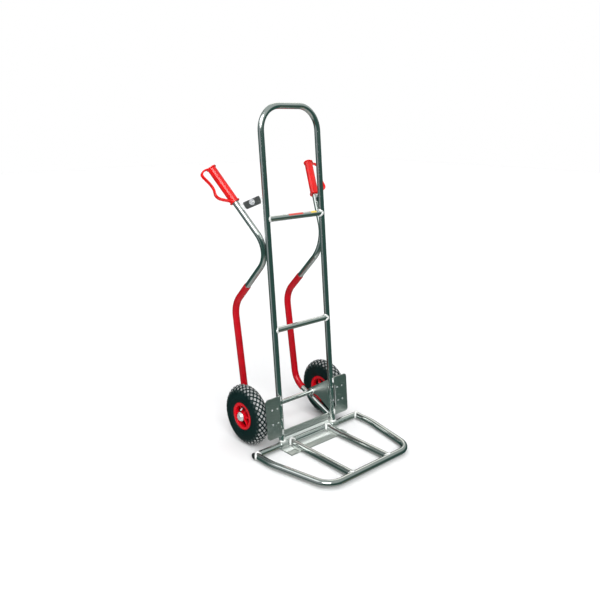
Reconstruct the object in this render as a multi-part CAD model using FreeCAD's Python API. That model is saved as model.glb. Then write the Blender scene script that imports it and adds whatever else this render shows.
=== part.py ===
import FreeCAD, Part
import math
import os

# Two-wheel hand truck with a fold-down toe frame, in millimetres.
# Origin: on the floor, midway between the sides, under the foot of the frame.
# +X is the truck's right, +Y points back to the wheels and grips, +Z is up.
# The frame leans back, so its tubes lie in a tilted plane through the origin.

# Overall
HEIGHT = 1300.0
LEAN = math.radians(5.2)

# Main hoop and rungs
HOOP_R = 11.5
HOOP_WALL = 2.0
HOOP_HALF = 137.0
HOOP_BEND = 89.0
FOOT_Z = 26.0
RUNG_R = 10.8
RUNG_WALL = 1.8
UPPER_RUNG_Z = 889.0
MIDDLE_RUNG_Z = 472.0

# Wheels and axle
WHEEL_R = 122.0
WHEEL_X = 209.0
AXLE_Y = 129.0
AXLE_R = 10.0
AXLE_HALF = 245.0
TYRE_HALF_W = 28.0
TYRE_WIDE_R = 88.0
TYRE_BEAD_R = 50.4
TYRE_BEAD_HALF = 22.0
TYRE_WALL = 5.0
TYRE_STEPS = 8
TUBE_RING_R = 88.0
TUBE_SECTION_R = 20.0
TUBE_WALL = 2.0
RIM_HALF_W = 31.0
RIM_FLANGE_T = 6.5
RIM_FLANGE_R = 54.5
RIM_SEAT_R = 50.0
RIM_WELL_R = 47.0
RIM_WELL_HALF = 10.0
RIM_WALL = 4.0
RIM_WEB_T = 8.0
RIM_WINDOWS = 6
RIM_WINDOW_R = 10.0
RIM_WINDOW_RING = 31.0
HUB_R = 17.0
HUB_HALF = 29.0
HUB_BORE_GAP = 0.5
BEARING_R = 13.0
BEARING_LEN = 18.0
BEARING_STAND = 0.8
WASHER_R = 16.0
WASHER_T = 2.0
WASHER_GAP = 0.4
CAP_R = 15.5
CAP_SKIRT_R = 18.5
CAP_T = 2.0
VALVE_R = 2.6
VALVE_FOOT = (8.0, 44.0)
VALVE_TIP = (31.0, 25.0)
RUN_GAP = 0.05

# Runner tubes, which carry on up as the handle tubes
RUNNER_R = 11.5
RUNNER_WALL = 2.0
RUNNER_FOOT = (10.0, 49.7)
RUNNER_LOW = (233.0, 139.8)
RUNNER_REAR = (293.8, 523.8)
RUNNER_TOUCH = (61.0, 768.2)
HANDLE_TOP = FreeCAD.Vector(242.2, 275.0, 1068.6)
LOW_BEND = 85.0
REAR_BEND = 100.0
TOUCH_BEND = 108.0
SLEEVE_R = 14.0
SLEEVE_TOP_Z = 615.0
SLEEVE_FIT = 0.1

# Grips
GRIP_LEN = 156.0
GRIP_R = 16.3
GRIP_FLANGE_R = 19.8
GRIP_FLANGE_T = 5.0
GRIP_CAP_T = 10.0
GRIP_FLUTES = 14
GRIP_FLUTE_R = 1.5
LOOP_W = 12.0
LOOP_OUTER = ((156, 12), (157, 32), (154, 48), (144, 60), (125, 59), (107, 54.5), (88, 52),
              (71, 55), (54, 62), (39, 59), (27, 47), (14, 27), (2, 12))
LOOP_INNER = ((151, 12), (152, 32), (147.5, 45.5), (140, 54.5), (125, 53.5), (107, 49), (88, 46.5),
              (70, 49.5), (54, 56), (43, 54), (32, 43), (20, 25), (8, 12))

# Toe profile on the floor
TOE_T = 3.0
TOE_HALF = 150.0
TOE_FRONT = -70.0
TOE_BACK = 19.0
TOE_LEG_T = 4.0
TOE_LEG_HALF = 127.0
TOE_LEG_TOP = 63.0
PLATE_RIB_R = 1.2
PLATE_RIBS = 8
PLATE_RIB_STEP = 6.0
LEG_RIB_R = 1.5
LEG_RIB_HEIGHTS = (32.0, 41.0, 50.0)
LEG_BEAD_R = 2.8
SEAT_MARGIN = 1.0

# Toe frame and its hinge
HINGE_Y = -3.0
HINGE_Z = 19.0
HINGE_R = 12.0
HINGE_WALL = 2.0
HINGE_HALF = 277.0
HINGE_BEARING_R = 14.5
HINGE_BEARING_LEN = 32.0
PLUG_T = 6.0
PLUG_LIP = 0.5
PLUG_ROUND = 2.0
PLUG_SPIGOT = 14.0
WELD_SETBACK = 4.0
TOE_TUBE_R = 12.5
TOE_TUBE_WALL = 2.0
TOE_SIDE_X = 269.0
TOE_SIDE_BEND_Y = -92.0
TOE_FRONT_X = 212.8
TOE_FRONT_Y = -344.0
TOE_SIDE_BEND = 250.0
TOE_CORNER_BEND = 68.0
SLAT_X = 97.0
SHOE_T = 1.4
SHOE_LEN = 58.0
SHOE_W = 22.0
SHOE_H = 9.4
SHOE_SETBACK = 2.0
PAD_INSET = 2.0
PAD_GAP = 0.1

# Wheel guards, gussets and brackets
GUARD_PLATE_T = 3.0
GUARD_IN = 150.0
GUARD_TAB_IN = 141.0
GUARD_OUT = 215.0
GUARD_LOW = 60.0
GUARD_TOP = 221.0
GUARD_TAB = 35.0
GUARD_CORNER = 13.0
GUSSET_T = 4.0
GUSSET_OUTLINE = ((20, 206), (30, 206), (140, 135), (150, 127), (150, 116), (104, 115), (90, 113),
                  (24, 78), (10, 78))
BRACKET_T = 3.0
BRACKET_LOW = 108.0
BRACKET_TOP = 186.0
BRACKET_OUT = 195.0
RIVET_R = 3.5
RIVET_H = 1.8
RIVET_DOME_R = 4.9
RIVET_SHANK_R = 2.0
PLATE_RIVET_X = (161.0, 187.0)
PLATE_RIVET_Z = (118.0, 175.0)
UPRIGHT_RIVET_Z = (123.0, 181.0)

# Brace between handle tube and upright
BRACE_T = 3.0
BRACE_Z = 938.0
BRACE_PLATE = ((6, 12), (21, 7), (73, -15), (90, 8), (30, 34), (6, 42))
BRACE_TAB = ((40, 4), (72, -12), (104, -26), (124, -2), (92, 6), (46, 24))
BOLT_AT = (52.0, 12.0)
BOLT_R = 4.0
BOLT_HOLE_GAP = 0.2
BOLT_WASHER_R = 11.0
BOLT_WASHER_T = 1.6
BOLT_ACROSS = 13.0
BOLT_HEAD_H = 5.3
BOLT_TAIL = 12.0
NUT_H = 6.5

# Labels
LABEL_T = 0.25
LABEL_LIFT = 0.02
LABEL_EDGE = 0.55
RED_LABEL_X = (-36.0, 34.0)
YELLOW_LABEL_X = (76.0, 104.0)

SMALL_GAP = 0.3

X_AXIS = FreeCAD.Vector(1, 0, 0)
Y_AXIS = FreeCAD.Vector(0, 1, 0)
Z_AXIS = FreeCAD.Vector(0, 0, 1)
ORIGIN = FreeCAD.Vector(0, 0, 0)


def vec(x, y, z):
    return FreeCAD.Vector(x, y, z)


def unit(v):
    return FreeCAD.Vector(v).normalize()


def on_frame(x, z, offset=0.0):
    """A point of the leaning frame plane at height z, moved back by offset."""
    return vec(x, z * math.tan(LEAN) + offset, z)


def mirrored(shape):
    return shape.mirror(ORIGIN, X_AXIS)


def rod(start, end, radius):
    span = end - start
    return Part.makeCylinder(radius, span.Length, start, span)


def ring(start, end, outer, inner):
    return rod(start, end, outer).cut(rod(start, end, inner))


def bent_path(points, radii):
    """Straight runs through the points, with an arc of the given radius at each inner point."""
    edges = []
    start = points[0]
    for index, radius in enumerate(radii, start=1):
        corner = points[index]
        before = unit(points[index - 1] - corner)
        after = unit(points[index + 1] - corner)
        half = before.getAngle(after) / 2
        reach = radius / math.tan(half)
        enter = corner + before * reach
        leave = corner + after * reach
        middle = corner + unit(before + after) * (radius / math.sin(half) - radius)
        edges.append(Part.LineSegment(start, enter).toShape())
        edges.append(Part.Arc(enter, middle, leave).toShape())
        start = leave
    edges.append(Part.LineSegment(start, points[-1]).toShape())
    return edges


def disc(centre, normal, radius):
    return Part.Face(Part.Wire(Part.Circle(centre, normal, radius).toShape()))


def swept(edges, radius):
    """A solid round bar along a path of edges."""
    path = Part.Wire(edges)
    start = edges[0].valueAt(edges[0].FirstParameter)
    heading = edges[0].tangentAt(edges[0].FirstParameter)
    return path.makePipe(disc(start, heading, radius))


def tube(edges, radius, wall):
    return swept(edges, radius).cut(swept(edges, radius - wall))


def prism(points, push):
    corners = [vec(*p) for p in points]
    return Part.Face(Part.makePolygon(corners + corners[:1])).extrude(push)


def upright_bar(side=1):
    """The solid outside of one upright, used to shape what is welded to it."""
    return rod(on_frame(side * HOOP_HALF, FOOT_Z), on_frame(side * HOOP_HALF, HEIGHT), HOOP_R)


def hinge_outside(half, radius):
    return rod(vec(-half, HINGE_Y, HINGE_Z), vec(half, HINGE_Y, HINGE_Z), radius)


def hoop_frame():
    top = HEIGHT - HOOP_R
    points = [on_frame(HOOP_HALF, FOOT_Z), on_frame(HOOP_HALF, top),
              on_frame(-HOOP_HALF, top), on_frame(-HOOP_HALF, FOOT_Z)]
    body = tube(bent_path(points, [HOOP_BEND, HOOP_BEND]), HOOP_R, HOOP_WALL)
    return body.cut(hinge_outside(HINGE_HALF, HINGE_BEARING_R))


def rung(height):
    start = on_frame(-HOOP_HALF, height)
    end = on_frame(HOOP_HALF, height)
    body = ring(start, end, RUNG_R, RUNG_R - RUNG_WALL)
    return body.cut(upright_bar(1)).cut(upright_bar(-1))


def axle():
    return rod(vec(-AXLE_HALF, AXLE_Y, WHEEL_R), vec(AXLE_HALF, AXLE_Y, WHEEL_R), AXLE_R)


def runner_points():
    """Foot, low bend, rear bend, touching bend and handle end of the right runner."""
    low = [vec(HOOP_HALF, y, z) for y, z in (RUNNER_FOOT, RUNNER_LOW, RUNNER_REAR, RUNNER_TOUCH)]
    top = HANDLE_TOP - handle_axis() * GRIP_CAP_T
    return low + [top]


def handle_axis():
    return unit(HANDLE_TOP - vec(HOOP_HALF, *RUNNER_TOUCH))


def runner_path():
    return bent_path(runner_points(), [LOW_BEND, REAR_BEND, TOUCH_BEND])


def runner():
    return tube(runner_path(), RUNNER_R, RUNNER_WALL).cut(upright_bar())


def glide_sleeve():
    """Plastic glide strip round the runner, from the low bend to just past the rear bend."""
    low_arc, middle_run, rear_arc, upper_run = runner_path()[1:5]
    start = upper_run.valueAt(upper_run.FirstParameter)
    heading = upper_run.tangentAt(upper_run.FirstParameter)
    end = start + heading * ((SLEEVE_TOP_Z - start.z) / heading.z)
    edges = [low_arc, middle_run, rear_arc, Part.LineSegment(start, end).toShape()]
    return swept(edges, SLEEVE_R).cut(swept(edges, RUNNER_R + SLEEVE_FIT))


def loop_edge(points, base, along, out):
    """A smooth curve through (along, out) pairs in the plane of the grip's loop."""
    curve = Part.BSplineCurve()
    curve.interpolate([base + along * a + out * b for a, b in points])
    return curve.toShape()


def knuckle_loop(base, along, out, normal):
    """Flat band that loops from one end of the grip to the other, outside the hand."""
    start = base - normal * (LOOP_W / 2)
    outer = loop_edge(LOOP_OUTER, start, along, out)
    inner = loop_edge(LOOP_INNER, start, along, out)
    ends = [Part.LineSegment(outer.valueAt(outer_at), inner.valueAt(inner_at)).toShape()
            for outer_at, inner_at in ((outer.FirstParameter, inner.FirstParameter),
                                       (outer.LastParameter, inner.LastParameter))]
    outline = Part.Wire(Part.sortEdges([outer, ends[1], inner, ends[0]])[0])
    return Part.Face(outline).extrude(normal * LOOP_W)


def grip():
    """Moulded grip with two flanges, flutes and a knuckle loop on its outer side."""
    along = handle_axis()
    base = HANDLE_TOP - along * GRIP_LEN
    out = unit(X_AXIS - along * X_AXIS.dot(along))
    normal = along.cross(out)
    body = rod(base, HANDLE_TOP, GRIP_R)
    flute_ring = GRIP_R + GRIP_FLUTE_R / 2
    for index in range(GRIP_FLUTES):
        turn = 2 * math.pi * index / GRIP_FLUTES
        offset = out * (flute_ring * math.cos(turn)) + normal * (flute_ring * math.sin(turn))
        body = body.cut(rod(base + offset, HANDLE_TOP + offset, GRIP_FLUTE_R))
    flange = along * GRIP_FLANGE_T
    body = body.fuse(rod(base, base + flange, GRIP_FLANGE_R))
    body = body.fuse(rod(HANDLE_TOP - flange, HANDLE_TOP, GRIP_FLANGE_R))
    body = body.fuse(knuckle_loop(base, along, out, normal))
    bore_end = HANDLE_TOP - along * (GRIP_CAP_T - SMALL_GAP)
    return body.cut(rod(base, bore_end, RUNNER_R + SLEEVE_FIT)).removeSplitter()


def x_bar(half, y, z, radius):
    """A round bar along X, as long as twice half, centred on the truck's middle."""
    return Part.makeCylinder(radius, 2 * half, vec(-half, y, z), X_AXIS)


def toe_plate():
    """Plate on the floor, ribbed along its front except under the slats."""
    plate = Part.makeBox(2 * TOE_HALF, TOE_BACK - TOE_FRONT, TOE_T, vec(-TOE_HALF, TOE_FRONT, 0))
    ribs = x_bar(TOE_HALF, TOE_FRONT + 3 * PLATE_RIB_R, TOE_T, PLATE_RIB_R)
    for index in range(1, PLATE_RIBS):
        y = TOE_FRONT + 3 * PLATE_RIB_R + index * PLATE_RIB_STEP
        ribs = ribs.fuse(x_bar(TOE_HALF, y, TOE_T, PLATE_RIB_R))
    seat_w = SHOE_W + 2 * SEAT_MARGIN
    for side in (-1, 1):
        corner = vec(side * SLAT_X - seat_w / 2, TOE_FRONT, TOE_T - PLATE_RIB_R)
        ribs = ribs.cut(Part.makeBox(seat_w, TOE_BACK - TOE_FRONT, 2 * PLATE_RIB_R, corner))
    return plate.fuse(ribs)


def toe_leg():
    """Upright leg of the profile, ribbed on its front, with a bead along the top."""
    front = TOE_BACK - TOE_LEG_T
    leg = Part.makeBox(2 * TOE_LEG_HALF, TOE_LEG_T, TOE_LEG_TOP, vec(-TOE_LEG_HALF, front, 0))
    for height in LEG_RIB_HEIGHTS:
        leg = leg.fuse(x_bar(TOE_LEG_HALF, front, height, LEG_RIB_R))
    return leg.fuse(x_bar(TOE_LEG_HALF, TOE_BACK - TOE_LEG_T / 2, TOE_LEG_TOP, LEG_BEAD_R))


def toe_profile():
    """L-shaped extrusion on the floor, shaped to the uprights and runners it is welded to."""
    body = toe_plate().fuse(toe_leg())
    runner_bar = swept(runner_path(), RUNNER_R)
    for outside in (upright_bar(1), upright_bar(-1), runner_bar, mirrored(runner_bar)):
        body = body.cut(outside)
    return body.removeSplitter()


def hinge_bearing():
    half = HINGE_BEARING_LEN / 2
    start = vec(HOOP_HALF - half, HINGE_Y, HINGE_Z)
    end = vec(HOOP_HALF + half, HINGE_Y, HINGE_Z)
    return ring(start, end, HINGE_BEARING_R, HINGE_R + RUN_GAP)


def hinge_bar():
    start = vec(-HINGE_HALF, HINGE_Y, HINGE_Z)
    end = vec(HINGE_HALF, HINGE_Y, HINGE_Z)
    return ring(start, end, HINGE_R, HINGE_R - HINGE_WALL)


def end_plug():
    """Plastic plug: a cap on the bar's end and a spigot inside it."""
    end = vec(HINGE_HALF, HINGE_Y, HINGE_Z)
    cap = rod(end, end + X_AXIS * PLUG_T, HINGE_R + PLUG_LIP)
    face_edges = [e for e in cap.Edges if e.BoundBox.XMin > HINGE_HALF + PLUG_T / 2]
    cap = cap.makeFillet(PLUG_ROUND, face_edges)
    return cap.fuse(rod(end - X_AXIS * PLUG_SPIGOT, end, HINGE_R - HINGE_WALL))


def toe_hoop_path():
    points = [vec(TOE_SIDE_X, HINGE_Y - WELD_SETBACK, HINGE_Z),
              vec(TOE_SIDE_X, TOE_SIDE_BEND_Y, HINGE_Z), vec(TOE_FRONT_X, TOE_FRONT_Y, HINGE_Z)]
    points += [vec(-p.x, p.y, p.z) for p in reversed(points)]
    bends = [TOE_SIDE_BEND, TOE_CORNER_BEND, TOE_CORNER_BEND, TOE_SIDE_BEND]
    return bent_path(points, bends)


def toe_hoop():
    """Bent tube round the front of the toe, with both ends welded to the hinge bar."""
    body = tube(toe_hoop_path(), TOE_TUBE_R, TOE_TUBE_WALL)
    plug = end_plug()
    return body.cut(hinge_outside(HINGE_HALF, HINGE_R)).cut(plug).cut(mirrored(plug))


def toe_slat():
    body = ring(vec(SLAT_X, HINGE_Y - WELD_SETBACK, HINGE_Z), vec(SLAT_X, TOE_FRONT_Y, HINGE_Z),
                TOE_TUBE_R, TOE_TUBE_R - TOE_TUBE_WALL)
    front = x_bar(TOE_FRONT_X, TOE_FRONT_Y, HINGE_Z, TOE_TUBE_R)
    return body.cut(hinge_outside(HINGE_HALF, HINGE_R)).cut(front)


def shoe_rear():
    return HINGE_Y - HINGE_R - SHOE_SETBACK


def shoe_bottom():
    return HINGE_Z - TOE_TUBE_R - SHOE_T


def slat_shoe():
    """Thin channel under the rear of a slat, where the slat rests on its pad."""
    corner = vec(SLAT_X - SHOE_W / 2, shoe_rear() - SHOE_LEN, shoe_bottom())
    block = Part.makeBox(SHOE_W, SHOE_LEN, SHOE_H, corner)
    start = vec(SLAT_X, HINGE_Y, HINGE_Z)
    end = vec(SLAT_X, TOE_FRONT_Y, HINGE_Z)
    return block.cut(rod(start, end, TOE_TUBE_R))


def rest_pad():
    width = SHOE_W - 2 * PAD_INSET
    length = SHOE_LEN - 2 * PAD_INSET
    corner = vec(SLAT_X - width / 2, shoe_rear() - SHOE_LEN + PAD_INSET, TOE_T)
    return Part.makeBox(width, length, shoe_bottom() - PAD_GAP - TOE_T, corner)


def wheel_guard():
    """Plate beside the upright, with two tabs that reach over the upright's front."""
    back = -(HOOP_R + SMALL_GAP)
    tab_top = GUARD_TOP - GUARD_TAB
    tab_low = GUARD_LOW + GUARD_TAB
    corners = [(GUARD_TAB_IN, GUARD_LOW), (GUARD_OUT, GUARD_LOW), (GUARD_OUT, GUARD_TOP),
               (GUARD_TAB_IN, GUARD_TOP), (GUARD_TAB_IN, tab_top), (GUARD_IN, tab_top),
               (GUARD_IN, tab_low), (GUARD_TAB_IN, tab_low)]
    points = [on_frame(x, z, back) for x, z in corners]
    push = vec(0, -GUARD_PLATE_T, 0)
    plate = prism(points, push)
    rounded = [e for e in plate.Edges
               if e.BoundBox.XMin > GUARD_OUT - 1 and e.BoundBox.YLength > GUARD_PLATE_T - 0.5
               and e.BoundBox.ZLength < 1]
    return plate.makeFillet(GUARD_CORNER, rounded)


def guard_bracket():
    """Angle bracket that holds the wheel guard from the upright's outer side."""
    front = -(HOOP_R + SMALL_GAP)
    inner = HOOP_HALF + HOOP_R
    corners = [(inner, BRACKET_LOW), (BRACKET_OUT, BRACKET_LOW), (BRACKET_OUT, BRACKET_TOP),
               (inner, BRACKET_TOP)]
    flat = prism([on_frame(x, z, front) for x, z in corners], Y_AXIS * BRACKET_T)
    corners = [(BRACKET_LOW, front), (BRACKET_LOW, HOOP_R), (BRACKET_TOP, HOOP_R),
               (BRACKET_TOP, front)]
    side = prism([on_frame(inner, z, y) for z, y in corners], X_AXIS * BRACKET_T)
    return flat.fuse(side).removeSplitter()


def gusset():
    """Plate that ties the upright, the runner and the axle together."""
    x = HOOP_HALF - GUSSET_T / 2
    plate = prism([(x, y, z) for y, z in GUSSET_OUTLINE], X_AXIS * GUSSET_T)
    return plate.cut(upright_bar()).cut(axle()).cut(swept(runner_path(), RUNNER_R))


def plate_seats():
    """Where the rivets of the right wheel guard sit on its front face."""
    front = -(HOOP_R + SMALL_GAP + GUARD_PLATE_T)
    return [on_frame(x, z, front) for x in PLATE_RIVET_X for z in PLATE_RIVET_Z]


def rivet_head(seat):
    dome = Part.makeSphere(RIVET_DOME_R, seat + Y_AXIS * (RIVET_DOME_R - RIVET_H))
    return dome.common(rod(seat - Y_AXIS * RIVET_H, seat, RIVET_R))


def rivets():
    """Four rivets through each wheel guard and two in the front of each upright."""
    guard = riveted(wheel_guard())
    heads = []
    for seat in plate_seats():
        shank = rod(seat, seat + Y_AXIS * (GUARD_PLATE_T + BRACKET_T), RIVET_SHANK_R)
        heads.append(rivet_head(seat).fuse(shank).cut(guard))
    for z in UPRIGHT_RIVET_Z:
        heads.append(rivet_head(on_frame(HOOP_HALF, z, -HOOP_R)).cut(upright_bar()))
    return Part.makeCompound(heads + [mirrored(head) for head in heads])


def riveted(shape):
    """A plate with the rivet holes of the right side cut out."""
    for seat in plate_seats():
        reach = Y_AXIS * (2 * GUARD_PLATE_T + BRACKET_T)
        shape = shape.cut(rod(seat - Y_AXIS * GUARD_PLATE_T, seat + reach, RIVET_SHANK_R))
    return shape


def handle_bar():
    return rod(vec(HOOP_HALF, *RUNNER_TOUCH), HANDLE_TOP, RUNNER_R)


def brace_frame():
    """Axes of the brace's plane: along it from upright to handle, up it, and its outer face."""
    touch = vec(HOOP_HALF, *RUNNER_TOUCH)
    handle = touch + handle_axis() * ((BRACE_Z - touch.z) / handle_axis().z)
    foot = on_frame(HOOP_HALF, BRACE_Z)
    along = unit(handle - foot)
    up = unit(on_frame(0, 1))
    return foot, along, up, unit(along.cross(up))


def brace_strip(outline, thickness):
    """A flat strip on the brace's plane; a positive thickness grows to the outer side."""
    foot, along, up, outward = brace_frame()
    return prism([foot + along * a + up * b for a, b in outline], outward * thickness)


def brace_plate():
    """Outer brace plate, welded to the upright."""
    return brace_strip(BRACE_PLATE, BRACE_T).cut(upright_bar()).cut(handle_bar()).cut(bolt_hole())


def brace_tab():
    """Inner brace plate, welded to the handle tube and bolted to the outer one."""
    return brace_strip(BRACE_TAB, -BRACE_T).cut(handle_bar()).cut(bolt_hole())


def bolt_centre():
    foot, along, up, _ = brace_frame()
    return foot + along * BOLT_AT[0] + up * BOLT_AT[1]


def bolt_hole():
    reach = brace_frame()[3] * (2 * BRACE_T)
    return rod(bolt_centre() - reach, bolt_centre() + reach, BOLT_R + BOLT_HOLE_GAP)


def hexagon(centre, axis, height):
    side = unit(axis.cross(Z_AXIS))
    up = unit(axis.cross(side))
    radius = BOLT_ACROSS / math.sqrt(3)
    turns = [k * math.pi / 3 for k in range(6)]
    corners = [centre + side * (radius * math.cos(t)) + up * (radius * math.sin(t)) for t in turns]
    return prism(corners, axis * height)


def brace_bolt():
    outward = brace_frame()[3]
    face = bolt_centre() + outward * BRACE_T
    head_seat = face + outward * BOLT_WASHER_T
    washer = rod(face, head_seat, BOLT_WASHER_R)
    shank = rod(bolt_centre() - outward * BOLT_TAIL, face, BOLT_R)
    return washer.fuse(hexagon(head_seat, outward, BOLT_HEAD_H)).fuse(shank)


def brace_nut():
    inward = brace_frame()[3] * -1
    face = bolt_centre() + inward * BRACE_T
    nut = hexagon(face, inward, NUT_H)
    return nut.cut(rod(bolt_centre(), face + inward * BOLT_TAIL, BOLT_R))


def wheel_ring(profile):
    """A ring turned about the right wheel's axis from (distance out from its middle, radius) pairs."""
    corners = [vec(WHEEL_X + x, AXLE_Y, WHEEL_R + r) for x, r in profile]
    face = Part.Face(Part.makePolygon(corners + corners[:1]))
    return face.revolve(vec(WHEEL_X, AXLE_Y, WHEEL_R), X_AXIS, 360)


def tyre_section(inset):
    """Outline of the tyre's cross-section, drawn inset from its outer surface."""
    half = TYRE_HALF_W - inset
    rise = WHEEL_R - TYRE_WIDE_R - inset
    turns = [math.pi / 2 * k / TYRE_STEPS for k in range(TYRE_STEPS)]
    shoulder = [(half * math.cos(t), TYRE_WIDE_R + rise * math.sin(t)) for t in turns]
    side = [(TYRE_BEAD_HALF - inset / 2, TYRE_BEAD_R), (TYRE_BEAD_HALF + 1 - inset / 2, RIM_FLANGE_R)]
    side.append(((side[1][0] + half) / 2 + 1, (RIM_FLANGE_R + TYRE_WIDE_R) / 2))
    right = side + shoulder
    return right + [(0.0, TYRE_WIDE_R + rise)] + [(-x, r) for x, r in reversed(right)]


def tyre():
    """Hollow tyre, open towards the rim."""
    mouth_half = TYRE_BEAD_HALF - TYRE_WALL
    low = TYRE_BEAD_R - 1
    mouth = [(-mouth_half, low), (mouth_half, low), (mouth_half, RIM_FLANGE_R), (-mouth_half, RIM_FLANGE_R)]
    body = wheel_ring(tyre_section(0.0)).cut(wheel_ring(tyre_section(TYRE_WALL)))
    return body.cut(wheel_ring(mouth))


def inner_tube():
    """Air tube inside the tyre, with a thin wall."""
    centre = vec(WHEEL_X, AXLE_Y, WHEEL_R)
    outer = Part.makeTorus(TUBE_RING_R, TUBE_SECTION_R, centre, X_AXIS)
    return outer.cut(Part.makeTorus(TUBE_RING_R, TUBE_SECTION_R - TUBE_WALL, centre, X_AXIS))


def rim_channel():
    """The channel that holds the tyre: two flanges, two bead seats and a well between them."""
    seat_half = RIM_HALF_W - RIM_FLANGE_T
    right = [(RIM_WELL_HALF, RIM_WELL_R), (seat_half, RIM_SEAT_R), (seat_half, RIM_FLANGE_R),
             (RIM_HALF_W, RIM_FLANGE_R), (RIM_HALF_W, RIM_FLANGE_R - RIM_FLANGE_T - 2),
             (RIM_HALF_W - RIM_FLANGE_T, RIM_WELL_R - RIM_WALL)]
    return wheel_ring(right + [(-x, r) for x, r in reversed(right)])


def rim():
    """Moulded rim: the tyre channel, a web with windows and a hub for two bearings."""
    half = RIM_WEB_T / 2
    outer = RIM_WELL_R - RIM_WALL + 1
    web = wheel_ring([(-half, HUB_R - 1), (half, HUB_R - 1), (half, outer), (-half, outer)])
    for index in range(RIM_WINDOWS):
        turn = 2 * math.pi * (index + 0.5) / RIM_WINDOWS
        centre = vec(WHEEL_X - RIM_WEB_T, AXLE_Y + RIM_WINDOW_RING * math.cos(turn),
                     WHEEL_R + RIM_WINDOW_RING * math.sin(turn))
        web = web.cut(Part.makeCylinder(RIM_WINDOW_R, 2 * RIM_WEB_T, centre, X_AXIS))
    bore = AXLE_R + HUB_BORE_GAP
    hub = wheel_ring([(-HUB_HALF, bore), (HUB_HALF, bore), (HUB_HALF, HUB_R), (-HUB_HALF, HUB_R)])
    body = rim_channel().fuse(web).fuse(hub)
    for side in (-1, 1):
        end = vec(WHEEL_X + side * HUB_HALF, AXLE_Y, WHEEL_R)
        body = body.cut(rod(end - X_AXIS * (side * BEARING_LEN), end, BEARING_R))
    return body.cut(rod(*valve_ends(), VALVE_R)).removeSplitter()


def valve_ends():
    """The valve comes out of the rim's channel and points out of the wheel."""
    return [vec(WHEEL_X + x, AXLE_Y, WHEEL_R + r) for x, r in (VALVE_FOOT, VALVE_TIP)]


def valve():
    """Stem with a rubber sheath at its root and a dust cap on its tip."""
    start, end = valve_ends()
    cap_start = end - unit(end - start) * (3 * VALVE_R)
    sheath_start = start + (cap_start - start) * 0.4
    stem = rod(start, end, VALVE_R)
    return stem.fuse(rod(sheath_start, cap_start, 1.5 * VALVE_R)).fuse(rod(cap_start, end, 1.35 * VALVE_R))


def wheel_bearings():
    parts = []
    for side in (-1, 1):
        start = vec(WHEEL_X + side * (HUB_HALF + BEARING_STAND), AXLE_Y, WHEEL_R)
        end = vec(WHEEL_X + side * (HUB_HALF - BEARING_LEN), AXLE_Y, WHEEL_R)
        parts.append(ring(start, end, BEARING_R, AXLE_R + RUN_GAP))
    return Part.makeCompound(parts)


def washer_reach():
    """Distance from the wheel's middle to the near face of each washer."""
    return HUB_HALF + BEARING_STAND + WASHER_GAP


def axle_spacer():
    """Sleeve on the axle between the gusset and the inner washer."""
    start = vec(HOOP_HALF + GUSSET_T / 2, AXLE_Y, WHEEL_R)
    end = vec(WHEEL_X - washer_reach() - WASHER_T, AXLE_Y, WHEEL_R)
    body = ring(start, end, BEARING_R, AXLE_R)
    return body.cut(swept(runner_path(), RUNNER_R + SMALL_GAP))


def axle_washers():
    """One washer each side of each wheel, clear of the turning bearings."""
    parts = []
    for near in (WHEEL_X - washer_reach() - WASHER_T, WHEEL_X + washer_reach()):
        start = vec(near, AXLE_Y, WHEEL_R)
        parts.append(ring(start, start + X_AXIS * WASHER_T, WASHER_R, AXLE_R))
    return Part.makeCompound(parts + [mirrored(part) for part in parts])


def hub_cap():
    """Pressed cap that grips the end of the axle."""
    skirt = vec(WHEEL_X + washer_reach() + WASHER_T, AXLE_Y, WHEEL_R)
    shell = skirt + X_AXIS * CAP_T
    end = vec(AXLE_HALF, AXLE_Y, WHEEL_R)
    body = ring(skirt, shell, CAP_SKIRT_R, AXLE_R).fuse(ring(shell, end, CAP_R, AXLE_R))
    return body.fuse(rod(end, end + X_AXIS * CAP_T, CAP_R)).removeSplitter()


def label(ends):
    """A thin plain sticker laid over the top of the upper rung."""
    start = on_frame(ends[0], UPPER_RUNG_Z)
    end = on_frame(ends[1], UPPER_RUNG_Z)
    wrap = ring(start, end, RUNG_R + LABEL_LIFT + LABEL_T, RUNG_R + LABEL_LIFT)
    corner = start + vec(0, -2 * RUNG_R, RUNG_R * LABEL_EDGE)
    return wrap.common(Part.makeBox(ends[1] - ends[0], 4 * RUNG_R, RUNG_R, corner))


def export(name, shape):
    shape.exportStep("parts/" + name + ".step")


os.makedirs("parts", exist_ok=True)

export("hoop_frame", hoop_frame())
export("rung_upper", rung(UPPER_RUNG_Z))
export("rung_middle", rung(MIDDLE_RUNG_Z))
export("axle", axle())
export("toe_profile", toe_profile())
export("rivets", rivets())
export("hinge_bar", hinge_bar())
export("toe_hoop", toe_hoop())
export("label_red", label(RED_LABEL_X))
export("label_yellow", label(YELLOW_LABEL_X))
export("axle_washers", axle_washers())
export("brace_bolts", Part.makeCompound([brace_bolt(), mirrored(brace_bolt())]))
export("brace_nuts", Part.makeCompound([brace_nut(), mirrored(brace_nut())]))

PAIRS = {
    "runner_tube": runner(),
    "glide_sleeve": glide_sleeve(),
    "grip": grip(),
    "hinge_bearing": hinge_bearing(),
    "hinge_plug": end_plug(),
    "toe_slat": toe_slat(),
    "slat_shoe": slat_shoe(),
    "rest_pad": rest_pad(),
    "wheel_guard": riveted(wheel_guard()),
    "guard_bracket": riveted(guard_bracket()),
    "gusset": gusset(),
    "brace_plate": brace_plate(),
    "brace_tab": brace_tab(),
    "tyre": tyre(),
    "inner_tube": inner_tube(),
    "rim": rim(),
    "valve": valve(),
    "wheel_bearings": wheel_bearings(),
    "axle_spacer": axle_spacer(),
    "hub_cap": hub_cap(),
}
for name, shape in PAIRS.items():
    export(name + "_right", shape)
    export(name + "_left", mirrored(shape))
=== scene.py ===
import math

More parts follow.
